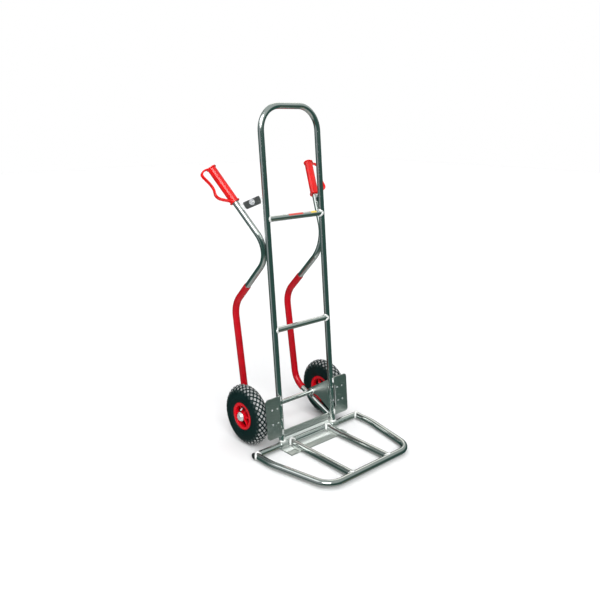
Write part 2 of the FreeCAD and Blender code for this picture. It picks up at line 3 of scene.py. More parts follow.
import bmesh
import bpy
import numpy as np
from mathutils import Matrix, Vector


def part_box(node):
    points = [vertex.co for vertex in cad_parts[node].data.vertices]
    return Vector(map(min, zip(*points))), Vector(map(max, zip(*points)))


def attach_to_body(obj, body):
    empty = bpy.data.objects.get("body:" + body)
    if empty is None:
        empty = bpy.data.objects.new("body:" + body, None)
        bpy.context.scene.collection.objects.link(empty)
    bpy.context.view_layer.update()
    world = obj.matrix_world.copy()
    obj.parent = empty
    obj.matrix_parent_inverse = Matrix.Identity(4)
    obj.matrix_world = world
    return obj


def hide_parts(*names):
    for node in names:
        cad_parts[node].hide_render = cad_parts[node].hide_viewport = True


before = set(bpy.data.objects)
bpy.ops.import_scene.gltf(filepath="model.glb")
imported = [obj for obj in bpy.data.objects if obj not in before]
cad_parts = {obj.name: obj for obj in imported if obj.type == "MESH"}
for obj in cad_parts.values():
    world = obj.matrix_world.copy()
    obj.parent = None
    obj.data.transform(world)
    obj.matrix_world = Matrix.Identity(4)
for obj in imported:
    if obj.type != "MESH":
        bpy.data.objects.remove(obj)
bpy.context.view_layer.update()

# Visual model of a hand truck, in metres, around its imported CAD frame.
# +X is to the right as seen from the front, where the toe frame is, and "left" and "right" below
# mean the same. +Y points back to the wheels and grips, and +Z is up.
RNG = np.random.default_rng(7)

X_AXIS = Vector((1.0, 0.0, 0.0))
Y_AXIS = Vector((0.0, 1.0, 0.0))
Z_AXIS = Vector((0.0, 0.0, 1.0))
SIDES = (("left", -1), ("right", 1))
MM = 0.001


# ---------------------------------------------------------------- node materials

class Shade:
    """A material and its node tree, with a short method for each kind of node."""

    def __init__(self, name):
        self.mat = bpy.data.materials.new(name)
        self.mat.use_nodes = True
        self.tree = self.mat.node_tree
        self.bsdf = self.tree.nodes["Principled BSDF"]
        self.point = self.put("ShaderNodeTexCoord").outputs["Object"]

    def put(self, kind, **settings):
        node = self.tree.nodes.new(kind)
        for key, value in settings.items():
            setattr(node, key, value)
        return node

    def feed(self, socket, value):
        if isinstance(value, bpy.types.NodeSocket):
            self.tree.links.new(value, socket)
        else:
            socket.default_value = value

    def set(self, **values):
        """Sets or links the surface shader's sockets, named with _ for a space."""
        for key, value in values.items():
            self.feed(self.bsdf.inputs[key.replace("_", " ")], value)

    def maths(self, operation, a, b=0.0):
        node = self.put("ShaderNodeMath", operation=operation)
        self.feed(node.inputs[0], a)
        self.feed(node.inputs[1], b)
        return node.outputs[0]

    def vector(self, operation, a, b):
        node = self.put("ShaderNodeVectorMath", operation=operation)
        self.feed(node.inputs[0], a)
        self.feed(node.inputs[1], b)
        return node.outputs["Value" if operation == "DOT_PRODUCT" else "Vector"]

    def coordinate(self, index):
        """The object's own X, Y or Z, as index 0, 1 or 2."""
        apart = self.put("ShaderNodeSeparateXYZ")
        self.feed(apart.inputs[0], self.point)
        return apart.outputs[index]

    def noise(self, scale, detail=2.0, rough=0.5, at=None):
        node = self.put("ShaderNodeTexNoise")
        self.feed(node.inputs["Vector"], at or self.point)
        node.inputs["Scale"].default_value = scale
        node.inputs["Detail"].default_value = detail
        node.inputs["Roughness"].default_value = rough
        return node.outputs[0]

    def cells(self, scale):
        node = self.put("ShaderNodeTexVoronoi")
        self.feed(node.inputs["Vector"], self.point)
        node.inputs["Scale"].default_value = scale
        return node.outputs["Color"]

    def spread(self, value, low, high, to_low=0.0, to_high=1.0):
        """Maps low..high to to_low..to_high, and holds the ends."""
        node = self.put("ShaderNodeMapRange")
        for socket, item in zip(node.inputs, (value, low, high, to_low, to_high)):
            self.feed(socket, item)
        return node.outputs[0]

    def blend(self, factor, a, b):
        node = self.put("ShaderNodeMix", data_type="RGBA")
        self.feed(node.inputs[0], factor)
        self.feed(node.inputs[6], a)
        self.feed(node.inputs[7], b)
        return node.outputs[2]

    def bumps(self, *layers):
        """Stacks (height, depth in metres) layers of relief and links the last to the shader."""
        normal = None
        for height, depth in layers:
            node = self.put("ShaderNodeBump")
            node.inputs["Distance"].default_value = depth
            self.feed(node.inputs["Height"], height)
            if normal is not None:
                self.feed(node.inputs["Normal"], normal)
            normal = node.outputs[0]
        self.feed(self.bsdf.inputs["Normal"], normal)


def grey(level, green=0.0, blue=0.0):
    return (level, level * (1 + green), level * (1 + blue), 1.0)


def streaks(shade, across, fine, along=9.0):
    """Noise drawn out along a bar: fine across it, and slow along it."""
    rank = shade.vector("DOT_PRODUCT", shade.point, tuple(across))
    lines = shade.put("ShaderNodeCombineXYZ")
    shade.feed(lines.inputs[0], shade.maths("MULTIPLY", rank, fine))
    slow = shade.vector("MULTIPLY", shade.point, (along,) * 3)
    return shade.noise(1.0, 3.0, 0.6, at=shade.vector("ADD", lines.outputs[0], slow))


# The height at which a runner tube has turned into the plane of its handle
SPLIT_Z = 0.775


def polished_tube(name, across, upper_across=None, wear_and_sheen_top=None, tone=1.0):
    """Drawn and polished aluminium tube, with its drawing lines along it.

    across is square to the plane the tube bends in, and upper_across is the same above SPLIT_Z.
    Low down, below the top height that it is given, it is rubbed rougher by the loads that it has
    carried and painted paler in patches: a painted reflection of the floor."""
    s = Shade(name)
    drawn = streaks(s, across, 2600.0)
    if upper_across is not None:
        share = s.spread(s.coordinate(2), SPLIT_Z - 0.01, SPLIT_Z + 0.01)
        drawn = s.blend(share, drawn, streaks(s, upper_across, 2600.0))
    cloud = s.noise(14.0, 3.0)
    smudge = s.spread(s.noise(55.0, 4.0, 0.65), 0.45, 0.75)
    dust = s.spread(s.noise(900.0, 2.0), 0.62, 0.72)
    # With tone below 1 the whole tube is darker: painted shade for tubes whose reflections should come
    # out dark
    base = s.blend(cloud, grey(0.46 * tone, 0.07, 0.05), grey(0.60 * tone, 0.05, 0.035))
    base = s.blend(s.spread(drawn, 0.35, 0.75, 0.0, 0.5), base, grey(0.36, 0.05, 0.03))
    base = s.blend(s.maths("MULTIPLY", dust, 0.30), base, grey(0.72))
    rough = s.spread(drawn, 0.3, 0.7, 0.08, 0.16)
    rough = s.maths("ADD", rough, s.maths("MULTIPLY", smudge, 0.08))
    if wear_and_sheen_top is not None:
        low = s.spread(s.coordinate(2), 0.0, wear_and_sheen_top, 1.0, 0.0)
        patches = s.spread(s.noise(70.0, 4.0, 0.65), 0.32, 0.60, 0.45, 0.85)
        rubbed = s.maths("MULTIPLY", low, patches)
        # Painted reflection: the patches low down are painted pale, as if they caught light from the
        # floor; the added roughness is wear
        base = s.blend(rubbed, base, grey(0.88, 0.0, -0.03))
        rough = s.maths("ADD", rough, s.maths("MULTIPLY", rubbed, 0.16))
    s.set(Base_Color=base, Metallic=1.0, Roughness=rough)
    s.bumps((drawn, 0.000012), (s.noise(38.0, 2.0), 0.00008), (s.noise(420.0, 3.0), 0.000006))
    return s.mat


# How far from its bolt a brace's ends start to be painted near white: a painted highlight
PAINTED_GLINT_FROM = 0.0340


def rolled_sheet(name, across, base, rough_low, lines, metal, bolt=None):
    """Rolled or extruded aluminium: lines one way, handling marks and a few scratches.

    base holds the darker and the lighter level, and across runs square to the lines.
    With bolt, a point on the right-hand side, both brace ends away from it are painted near white and
    less metallic: a painted highlight."""
    s = Shade(name)
    base_low, base_high = base
    rolled = streaks(s, across, lines, 22.0)
    cloud = s.noise(18.0, 3.0)
    turned = s.vector("MULTIPLY", s.point, (160.0, 900.0, 60.0))
    scratch = s.spread(s.noise(1.0, 1.0, at=turned), 0.70, 0.76)
    base = s.blend(cloud, grey(base_low, 0.05, 0.02), grey(base_high, 0.035, 0.0))
    base = s.blend(s.spread(rolled, 0.35, 0.70, 0.0, 0.45), base, grey(base_low * 0.75, 0.05, 0.03))
    base = s.blend(s.maths("MULTIPLY", scratch, 0.5), base, grey(0.80))
    rough = s.maths("ADD", s.spread(rolled, 0.3, 0.7, rough_low, rough_low + 0.12),
                    s.maths("MULTIPLY", s.noise(70.0, 4.0, 0.6), 0.10))
    if bolt is not None:
        folded = s.vector("SUBTRACT", s.vector("ABSOLUTE", s.point, (0.0,) * 3), tuple(bolt))
        away = s.vector("DOT_PRODUCT", folded, folded)
        # Painted highlight: both ends of a brace, away from its bolt, are painted near white
        painted_glint = s.spread(s.maths("SQRT", away), PAINTED_GLINT_FROM, PAINTED_GLINT_FROM + 0.0015)
        base = s.blend(painted_glint, base, grey(0.97))
        metal = s.spread(painted_glint, 0.0, 1.0, metal, 0.25)
    s.set(Base_Color=base, Metallic=metal, Roughness=rough)
    s.bumps((rolled, 0.00005), (s.noise(45.0, 2.0), 0.0002), (scratch, -0.00003))
    return s.mat


def weld_metal(name):
    """Bright cleaned weld: fine oxide grain and a darker halo in places."""
    s = Shade(name)
    grain = s.noise(1100.0, 3.0, 0.6)
    base = s.blend(s.spread(s.noise(160.0, 3.0), 0.35, 0.7), grey(0.92, 0.0, -0.01), grey(0.74, 0.01))
    s.set(Base_Color=base, Metallic=0.35, Roughness=s.spread(grain, 0.3, 0.7, 0.30, 0.46))
    s.bumps((grain, 0.00006), (s.noise(300.0, 2.0), 0.0002))
    return s.mat


def plated_steel(name, level, rough, metal):
    """Zinc plating: faint spangle, cool tint, dull patches."""
    s = Shade(name)
    spangle = s.cells(420.0)
    patch = s.noise(120.0, 4.0, 0.6)
    base = s.blend(s.spread(patch, 0.3, 0.7), grey(level, 0.02, 0.05), grey(level * 0.78, 0.02, 0.03))
    base = s.blend(0.10, base, spangle)
    s.set(Base_Color=base, Metallic=metal, Roughness=s.spread(patch, 0.3, 0.75, rough, rough + 0.18))
    s.bumps((s.noise(800.0, 3.0), 0.00004), (patch, 0.00008))
    return s.mat


def turned_steel(name):
    """Ground bearing steel with turning rings about the wheel axis."""
    s = Shade(name)
    rings = s.noise(5200.0, 1.0, at=s.vector("MULTIPLY", s.point, (1.0, 0.02, 0.02)))
    base = s.blend(rings, grey(0.40), grey(0.56, 0.0, 0.01))
    s.set(Base_Color=base, Metallic=1.0, Roughness=s.spread(s.noise(200.0), 0.3, 0.7, 0.2, 0.34))
    s.bumps((rings, 0.00003))
    return s.mat


def moulded(name, colour, worn, rough, grain, depth, coat=0.0, wear_at=0.66, shine=0.5,
            web_x=None):
    """Moulded plastic: slight colour drift, fine grain, flow marks and rubbed patches.

    With web_x, how far a wheel's web is from the middle, the rim is painted near black beside the web:
    painted shade in the wheel's deep recesses."""
    s = Shade(name)
    drift = s.noise(24.0, 3.0)
    deep = tuple(c * 0.72 for c in colour[:3]) + (1.0,)
    base = s.blend(s.spread(drift, 0.35, 0.7), colour, deep)
    rub = s.spread(s.noise(130.0, 5.0, 0.7), wear_at, wear_at + 0.10)
    base = s.blend(s.maths("MULTIPLY", rub, 0.55), base, worn)
    if web_x is not None:
        # Painted shade: near black beside the web, deep in the wheel
        from_web = s.maths("SUBTRACT", s.maths("ABSOLUTE", s.coordinate(0)), web_x)
        dirt_and_painted_shade = s.spread(s.maths("ABSOLUTE", from_web), 0.0055, 0.0125, 0.96, 0.0)
        base = s.blend(dirt_and_painted_shade, base, (0.012, 0.001, 0.002, 1))
    fine = s.noise(grain, 2.0)
    level = s.maths("ADD", s.spread(drift, 0.3, 0.7, rough, rough + 0.08),
                    s.maths("MULTIPLY", rub, 0.2))
    s.set(Base_Color=base, Roughness=level, Coat_Weight=coat, Coat_Roughness=0.12,
          Specular_IOR_Level=shine)
    s.bumps((fine, depth), (s.noise(60.0, 2.0), 0.00015))
    return s.mat


def sleeve_plastic(name):
    """Glossy deep red glide plastic, with long rub marks down its front and back."""
    s = Shade(name)
    drift = s.noise(20.0, 3.0)
    drawn = streaks(s, X_AXIS, 1700.0, 14.0)
    base = s.blend(s.spread(drift, 0.3, 0.7), (0.52, 0.001, 0.010, 1), (0.38, 0.001, 0.007, 1))
    scuff = s.spread(drawn, 0.62, 0.72)
    base = s.blend(s.maths("MULTIPLY", scuff, 0.12), base, (0.62, 0.06, 0.08, 1))
    rough = s.maths("ADD", s.spread(drift, 0.3, 0.7, 0.20, 0.28), s.maths("MULTIPLY", scuff, 0.16))
    s.set(Base_Color=base, Roughness=rough, Specular_IOR_Level=0.32)
    s.bumps((drawn, 0.00005), (s.noise(90.0, 2.0), 0.00012))
    return s.mat


def tyre_rubber(name, dark, light, rough, grain=1500.0, shine=0.5):
    """Rubber: dusty bloom, moulding grain and faint scuffs."""
    s = Shade(name)
    dust = s.spread(s.noise(38.0, 5.0, 0.65), 0.35, 0.75)
    speck = s.spread(s.noise(620.0, 3.0, 0.6), 0.55, 0.75)
    base = s.blend(s.maths("MULTIPLY", dust, 0.7), dark, light)
    base = s.blend(s.maths("MULTIPLY", speck, 0.04), base, grey(0.12))
    s.set(Base_Color=base, Roughness=s.spread(dust, 0.2, 0.8, rough, rough + 0.16),
          Specular_IOR_Level=shine)
    s.bumps((s.noise(grain, 3.0, 0.6), 0.00005), (s.noise(140.0, 3.0), 0.00018))
    return s.mat


def sticker_film(name, colour, edge):
    """Plain sticker film with faded, lifted and dirty patches, and no print."""
    s = Shade(name)
    fade = s.spread(s.noise(70.0, 4.0, 0.6), 0.35, 0.7)
    dirt_and_painted_shade = s.spread(s.noise(420.0, 3.0, 0.7), 0.6, 0.72)
    base = s.blend(s.maths("MULTIPLY", fade, 0.5), colour, edge)
    base = s.blend(s.maths("MULTIPLY", dirt_and_painted_shade, 0.35), base, grey(0.18))
    s.set(Base_Color=base, Roughness=s.spread(fade, 0.0, 1.0, 0.32, 0.5))
    s.bumps((s.noise(240.0, 2.0), 0.00008), (dirt_and_painted_shade, 0.00003))
    return s.mat


# ---------------------------------------------------------------- mesh helpers

def attach(name, mesh, body):
    """A piece with this mesh that rides on a body."""
    piece = bpy.data.objects.new(name, mesh)
    bpy.context.scene.collection.objects.link(piece)
    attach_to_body(piece, body)
    return piece


def new_piece(name, points, faces, materials, body, face_slots=None):
    """A smooth piece from points and faces in the frame's own coordinates."""
    mesh = bpy.data.meshes.new(name)
    mesh.from_pydata([tuple(p) for p in points], [], faces)
    for material in materials:
        mesh.materials.append(material)
    if face_slots is not None:
        mesh.polygons.foreach_set("material_index", face_slots)
    mesh.polygons.foreach_set("use_smooth", [True] * len(mesh.polygons))
    mesh.validate()
    mesh.update()
    return attach(name, mesh, body)


def closed_grid(rows, cols, loop_rows=False):
    """Quads over a grid of points that closes on itself across its columns."""
    last = rows if loop_rows else rows - 1
    return [(r * cols + c, r * cols + (c + 1) % cols,
             ((r + 1) % rows) * cols + (c + 1) % cols, ((r + 1) % rows) * cols + c)
            for r in range(last) for c in range(cols)]


def lathe(profile, centre, out, steps, closed=False):
    """Points and faces of a profile of (distance out, radius) pairs turned about the X line.

    out is 1 or -1, the way along X that counts as outward."""
    points = []
    for reach, radius in profile:
        for k in range(steps):
            turn = 2 * math.pi * k / steps
            points.append((centre.x + out * reach, centre.y + radius * math.cos(turn),
                           centre.z + radius * math.sin(turn)))
    return points, closed_grid(len(profile), steps, closed)


def rounded(profile, radius, steps):
    """A closed profile of (a, b) points with each corner rounded."""
    result = []
    count = len(profile)
    for index in range(count):
        corner = Vector(profile[index])
        before = Vector(profile[index - 1]) - corner
        after = Vector(profile[(index + 1) % count]) - corner
        reach = min(radius, before.length * 0.45, after.length * 0.45)
        start, end = corner + before.normalized() * reach, corner + after.normalized() * reach
        for step in range(steps + 1):
            t = step / steps
            result.append(tuple(start * (1 - t) ** 2 + corner * (2 * t * (1 - t)) + end * t ** 2))
    return result


class Bundle:
    """Several shapes gathered into one mesh."""

    def __init__(self):
        self.points = []
        self.faces = []
        self.slots = []

    def add(self, points, faces, slot=0):
        base = len(self.points)
        self.points += [tuple(p) for p in points]
        self.faces += [tuple(base + i for i in face) for face in faces]
        self.slots += [slot] * len(faces)

    def piece(self, name, materials, body, slot):
        return new_piece(name, self.points, self.faces, materials, body, self.slots)


def centre_of(node):
    low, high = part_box(node)
    return (low + high) / 2


def size_of(node):
    low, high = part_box(node)
    return high - low


def square_pair(axis):
    """Two unit vectors square to an axis and to each other."""
    first = axis.cross(Z_AXIS if abs(axis.z) < 0.9 else X_AXIS).normalized()
    return first, axis.cross(first).normalized()


# ---------------------------------------------------------------- weld beads

BEAD_SIDES = 12
BEAD_RIPPLE = 0.0042    # the length of one ripple along a bead
STEPS_A_RIPPLE = 7


def bead(path, normals, radius, closed=True):
    """A weld bead along a path: round, with overlapping ripples like a row of coins.

    normals says which way the bead faces at each point of the path."""
    gaps = [(path[(k + 1) % len(path)] - path[k]).length for k in range(len(path) - (not closed))]
    count = max(int(sum(gaps) / (BEAD_RIPPLE / STEPS_A_RIPPLE)), 24)
    marks = np.concatenate([[0.0], np.cumsum(gaps)])
    places = np.linspace(0.0, marks[-1], count, endpoint=not closed)
    track = np.array([tuple(p) for p in path] + ([tuple(path[0])] if closed else []))
    faces_out = np.array([tuple(n) for n in normals] + ([tuple(normals[0])] if closed else []))
    spot = np.stack([np.interp(places, marks, track[:, i]) for i in range(3)], 1)
    lift = np.stack([np.interp(places, marks, faces_out[:, i]) for i in range(3)], 1)
    waves = max(round(marks[-1] / BEAD_RIPPLE), 1)
    wobble = RNG.uniform(0.92, 1.08, waves + 1)
    points = []
    for k in range(count):
        ahead = spot[(k + 1) % count] if closed or k < count - 1 else 2 * spot[k] - spot[k - 1]
        tangent = Vector(ahead - spot[k]).normalized()
        up = Vector(lift[k])
        up = (up - tangent * up.dot(tangent)).normalized()
        side = tangent.cross(up)
        phase = places[k] / marks[-1] * waves
        swell = (1 - 0.20 * (phase % 1.0) ** 2) * wobble[int(phase) % waves]
        if not closed:
            swell *= math.sqrt(max(1 - (2 * k / (count - 1) - 1) ** 12, 0.02))
        middle = Vector(spot[k]) + up * (radius * 0.15)
        for a in range(BEAD_SIDES):
            turn = 2 * math.pi * a / BEAD_SIDES
            spoke = side * math.cos(turn) + up * (math.sin(turn) * 0.8)
            points.append(middle + spoke * radius * swell)
    faces = closed_grid(count, BEAD_SIDES, closed)
    if not closed:
        last = (count - 1) * BEAD_SIDES
        faces += [tuple(range(BEAD_SIDES)), tuple(last + a for a in reversed(range(BEAD_SIDES)))]
    return points, faces


SADDLE_STEPS = 60


def saddle(start, axis, radius, bar_point, bar_axis, bar_radius):
    """The path and normals of a bead where a round bar along axis first meets another."""
    u, v = square_pair(axis)
    path, normals = [], []
    flat_axis = axis - bar_axis * axis.dot(bar_axis)
    for k in range(SADDLE_STEPS):
        turn = 2 * math.pi * k / SADDLE_STEPS
        radial = u * math.cos(turn) + v * math.sin(turn)
        origin = start + radial * radius - bar_point
        flat = origin - bar_axis * origin.dot(bar_axis)
        a, b = flat_axis.dot(flat_axis), 2 * flat.dot(flat_axis)
        root = math.sqrt(max(b * b - 4 * a * (flat.dot(flat) - bar_radius ** 2), 0.0))
        hit = origin + axis * ((-b - root) / (2 * a))
        from_bar = (hit - bar_axis * hit.dot(bar_axis)).normalized()
        path.append(hit + bar_point)
        normals.append((radial + from_bar).normalized())
    return path, normals


def clear_of_bar(points, radius):
    """Moves points that lie within radius of the hinge's middle line straight out to that radius."""
    moved = []
    for point in points:
        off = Vector((0.0, point.y - HINGE.y, point.z - HINGE.z))
        if off.length < radius:
            off = off.normalized() * radius
        moved.append(Vector((point.x, HINGE.y + off.y, HINGE.z + off.z)))
    return moved


# ---------------------------------------------------------------- places from the frame

UPPER = centre_of("rung_upper")
MIDDLE = centre_of("rung_middle")
RUNG_R = size_of("rung_middle").z / 2
UP_LINE = (UPPER - MIDDLE).normalized()
HOOP_R = 0.0115
HOOP_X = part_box("hoop_frame")[1].x - HOOP_R
HINGE = centre_of("hinge_bar")
HINGE_LINE = Vector((0.0, HINGE.y, HINGE.z))
HINGE_R = size_of("hinge_bar").z / 2
BEARING_R = size_of("hinge_bearing_left").z / 2
PLATE_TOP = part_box("rest_pad_right")[0].z
SLAT = centre_of("toe_slat_right")
SLAT_R = size_of("toe_slat_right").x / 2
TOE_LOW, TOE_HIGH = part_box("toe_hoop")
FRONT_Y = TOE_LOW.y + SLAT_R
SIDE_X = TOE_HIGH.x - SLAT_R
AXLE = centre_of("axle")
AXLE_R = size_of("axle").z / 2
WHEEL_R = size_of("tyre_left").z / 2
GUSSET_LOW, GUSSET_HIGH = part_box("gusset_right")
GUARD_LOW, GUARD_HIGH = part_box("wheel_guard_right")


def on_upright(side, z):
    """A point of an upright's middle line at height z."""
    return Vector((side * HOOP_X, MIDDLE.y + (z - MIDDLE.z) * UP_LINE.y / UP_LINE.z, z))


# ---------------------------------------------------------------- materials in use

TUBE_LEAN = polished_tube("tube_hoop", UP_LINE.cross(X_AXIS), wear_and_sheen_top=0.34)
TUBE_RUNG = polished_tube("tube_rung", (0.0, 0.6, 0.8))
# Painted shade: the toe hoop and slats are darker copies of the same polished tube
TUBE_TOE = polished_tube("tube_toe", Z_AXIS, tone=0.8)
TUBE_SLAT = polished_tube("tube_slat", (0.6, 0.0, 0.8), tone=0.75)
HANDLE_ACROSS = Vector((0.898, -0.440, 0.0))    # square to the plane of a handle's bend
TUBE_RUNNER = polished_tube("tube_runner", X_AXIS, HANDLE_ACROSS)
PROFILE_ACROSS = (0.0, 0.8, 0.6)
SHEET_ACROSS = (0.15, 0.25, 0.95)
PROFILE = rolled_sheet("toe_extrusion", PROFILE_ACROSS, (0.52, 0.68), 0.22, 1300.0, 0.97)
SHEET = rolled_sheet("guard_sheet", SHEET_ACROSS, (0.46, 0.60), 0.26, 900.0, 0.98)
WELD = weld_metal("weld_bead")
BOLT_LOW, BOLT_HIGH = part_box("brace_bolts")
BOLT_REACH = 0.011    # from the bolts' outermost point in to a bolt's middle
BOLT = Vector((BOLT_HIGH.x - BOLT_REACH, (BOLT_LOW.y + BOLT_HIGH.y) / 2,
               (BOLT_LOW.z + BOLT_HIGH.z) / 2))
BRACE = rolled_sheet("brace_sheet", SHEET_ACROSS, (0.12, 0.17), 0.30, 900.0, 1.0, BOLT)
# Painted highlight: a near-white, part-matt band for the toe profile's cove and the back of its plate
PAINTED_HIGHLIGHT = rolled_sheet("painted_highlight_band", PROFILE_ACROSS, (0.92, 0.99), 0.22, 1300.0, 0.35)
ZINC = plated_steel("zinc_plated", 0.86, 0.22, 0.6)
BRIGHT = plated_steel("bright_cap", 0.94, 0.14, 0.5)
BEARING = turned_steel("bearing_steel")
GRIP_RED = moulded("grip_red", (0.90, 0.001, 0.002, 1), (0.92, 0.03, 0.03, 1),
                   rough=0.11, grain=1500.0, depth=0.00002, coat=1.0, wear_at=0.78, shine=0.1)
SLEEVE_RED = sleeve_plastic("glide_red")
# The rim takes painted shade beside its web
RIM_RED = moulded("rim_red", (0.80, 0.002, 0.014, 1), (0.80, 0.07, 0.08, 1), rough=0.24,
                  grain=1200.0, depth=0.00003, wear_at=0.73, shine=0.4,
                  web_x=centre_of("rim_right").x)
BLACK = moulded("black_plastic", (0.012, 0.012, 0.013, 1), (0.10, 0.10, 0.10, 1),
                rough=0.38, grain=1000.0, depth=0.00008)
PAD = moulded("rest_pad", (0.010, 0.010, 0.010, 1), (0.07, 0.07, 0.065, 1),
              rough=0.62, grain=700.0, depth=0.00012)
RUBBER = tyre_rubber("tyre_rubber", (0.0008, 0.009, 0.009, 1), (0.003, 0.019, 0.018, 1), 0.42,
                     shine=0.22)
# Painted highlight: the tops of the tread blocks are light grey, for the light that they catch
TREAD_TOP_HIGHLIGHT = tyre_rubber("tread_top_highlight", (0.24, 0.25, 0.25, 1), (0.50, 0.50, 0.50, 1), 0.24,
                        grain=900.0)
# A dimmer painted highlight for the block tops of the two outermost rows, where less light falls
TREAD_EDGE_DIM_HIGHLIGHT = tyre_rubber("tread_edge_dim_highlight", (0.012, 0.024, 0.023, 1), (0.05, 0.07, 0.068, 1), 0.3,
                         grain=900.0, shine=0.3)
BUTYL = tyre_rubber("inner_tube", (0.006, 0.006, 0.006, 1), (0.03, 0.03, 0.03, 1), 0.45)
VALVE_RUBBER = tyre_rubber("valve_rubber", (0.006, 0.006, 0.007, 1), (0.02, 0.02, 0.02, 1), 0.4)
STICKER_RED = sticker_film("sticker_red", (0.62, 0.03, 0.02, 1), (0.70, 0.22, 0.18, 1))
STICKER_YELLOW = sticker_film("sticker_yellow", (0.80, 0.52, 0.03, 1), (0.85, 0.70, 0.30, 1))

LOOKS = {
    "hoop_frame": TUBE_LEAN, "rung_upper": TUBE_RUNG, "rung_middle": TUBE_RUNG, "axle": TUBE_RUNG,
    "hinge_bar": TUBE_RUNG, "toe_hoop": TUBE_TOE, "toe_profile": PROFILE, "rivets": ZINC,
    "axle_washers": ZINC, "brace_bolts": ZINC, "brace_nuts": ZINC,
    "label_red": STICKER_RED, "label_yellow": STICKER_YELLOW,
}
PAIR_LOOKS = {
    "runner_tube": TUBE_RUNNER, "toe_slat": TUBE_SLAT, "hinge_bearing": PROFILE, "slat_shoe": PROFILE,
    "wheel_guard": SHEET, "guard_bracket": SHEET, "gusset": SHEET, "brace_plate": BRACE,
    "brace_tab": BRACE, "hub_cap": BRIGHT, "axle_spacer": ZINC, "wheel_bearings": BEARING,
    "grip": GRIP_RED, "glide_sleeve": SLEEVE_RED, "rim": RIM_RED, "hinge_plug": BLACK,
    "rest_pad": PAD, "tyre": RUBBER, "inner_tube": BUTYL, "valve": VALVE_RUBBER,
}

PLATES = ("wheel_guard", "guard_bracket", "gusset", "brace_plate", "brace_tab", "slat_shoe",
          "hinge_bearing")


def soften_plates():
    """Breaks the sharp edges of the cut plates, so that they catch the light."""
    for plate in PLATES:
        for side, _ in SIDES:
            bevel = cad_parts[plate + "_" + side].modifiers.new("broken_edge", "BEVEL")
            bevel.width = 0.0006
            bevel.segments = 2
            bevel.limit_method = "ANGLE"
            bevel.angle_limit = math.radians(40)


def paint_frame():
    """Gives each CAD node its own finished material."""
    looks = dict(LOOKS)
    for name, look in PAIR_LOOKS.items():
        for side, _ in SIDES:
            looks[name + "_" + side] = look
    for name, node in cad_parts.items():
        node.data.materials.clear()
        node.data.materials.append(looks[name])


# ---------------------------------------------------------------- tyres

TREAD_PITCHES = 31
TREAD_ROWS = 9
TREAD_STEP = 0.0094
TREAD_DEPTH = 0.0034
TREAD_GROOVE = 0.0040
BLOCK_CORNERS = 8
BLOCK_BLUNT = 0.224    # half the angle that a block's blunted corner takes up
BLOCK_TOP_FACES = BLOCK_CORNERS + 1    # the last ring of sides, and the top
CROWN_RISE = 0.0340
CROWN_REACH = 0.050    # how far the carcass follows the crown from its middle
CROWN_STEPS = 18
SHOULDER_STEPS = 6
CARCASS_STEPS = 144
TYRE_HALF = size_of("tyre_left").x / 2


def crown(arc, depth=0.0):
    """(offset along the axle, radius) at an arc length from the crown's middle, less a depth."""
    wide_r = WHEEL_R - CROWN_RISE
    turn = math.pi / 2 - arc / ((TYRE_HALF + CROWN_RISE) / 2)
    slope = Vector((math.cos(turn) / TYRE_HALF, math.sin(turn) / CROWN_RISE)).normalized()
    return (TYRE_HALF * math.cos(turn) - slope.x * depth,
            wide_r + CROWN_RISE * math.sin(turn) - slope.y * depth)


def tread_block(centre, arc, turn):
    """One diamond block with softened edges: rings of points from its root to its top."""
    pitch = 2 * math.pi / TREAD_PITCHES
    reach = TREAD_STEP - TREAD_GROOVE * 0.71
    swing = pitch / 2 * reach / TREAD_STEP
    rings = ((1.14, TREAD_DEPTH + 0.0006), (1.0, 0.0008), (0.93, 0.0002), (0.80, 0.0))
    points = []
    for scale, depth in rings:
        for step in range(BLOCK_CORNERS):
            corner, past = divmod(step, 2)
            at = math.pi / 2 * corner + (BLOCK_BLUNT if past else -BLOCK_BLUNT)
            edge = scale / (abs(math.cos(at)) + abs(math.sin(at)))
            x, radius = crown(arc + reach * edge * math.cos(at), depth)
            angle = turn + swing * edge * math.sin(at)
            points.append((centre.x + x, centre.y + radius * math.cos(angle),
                           centre.z + radius * math.sin(angle)))
    faces = closed_grid(len(rings), BLOCK_CORNERS)
    top = (len(rings) - 1) * BLOCK_CORNERS
    return points, faces + [tuple(range(top, top + BLOCK_CORNERS))]


